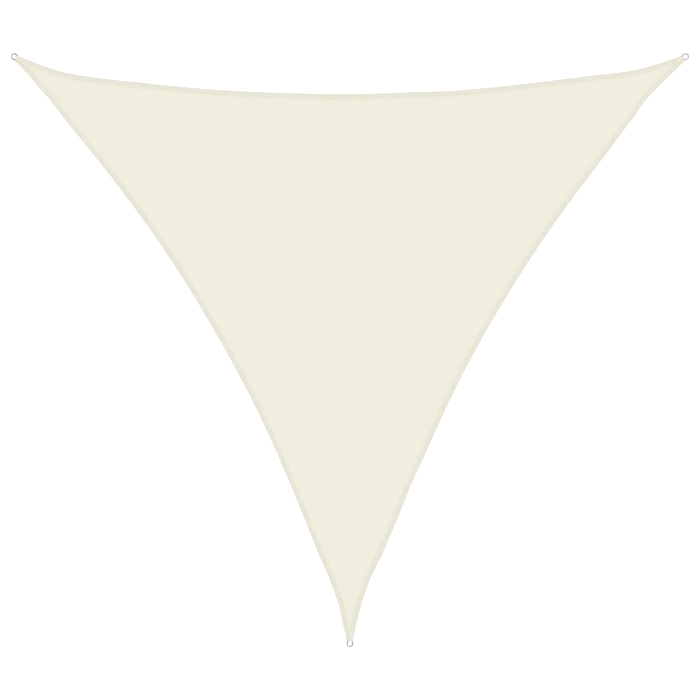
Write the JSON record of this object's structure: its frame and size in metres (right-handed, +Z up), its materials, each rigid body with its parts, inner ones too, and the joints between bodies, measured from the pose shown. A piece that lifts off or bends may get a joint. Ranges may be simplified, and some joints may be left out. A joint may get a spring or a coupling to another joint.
{
  "type": "triangular shade sail",
  "caption": "Triangular knitted shade sail with inward-curved hemmed edges and a steel D-ring on a sewn webbing loop at each corner, laid flat.",
  "frame": {"origin": "middle of the base of the whole part's box, on the ground under the cloth", "axes": "+X along the top edge, from the left ring to the right ring; +Y from the lower corner to the top edge; +Z up, out of the cloth's face"},
  "size_m": [3.5998, 3.152, 0.008],
  "materials": {
    "cloth": "matt cream knitted polyethylene shade cloth",
    "webbing": "matt cream woven polyester webbing",
    "steel": "satin stainless steel wire"
  },
  "bodies": {
    "root": {"sail": "cloth", "loop_left": "webbing", "loop_right": "webbing", "loop_bottom": "webbing", "ring_left": "steel", "ring_right": "steel", "ring_bottom": "steel"}
  },
  "joints": []
}
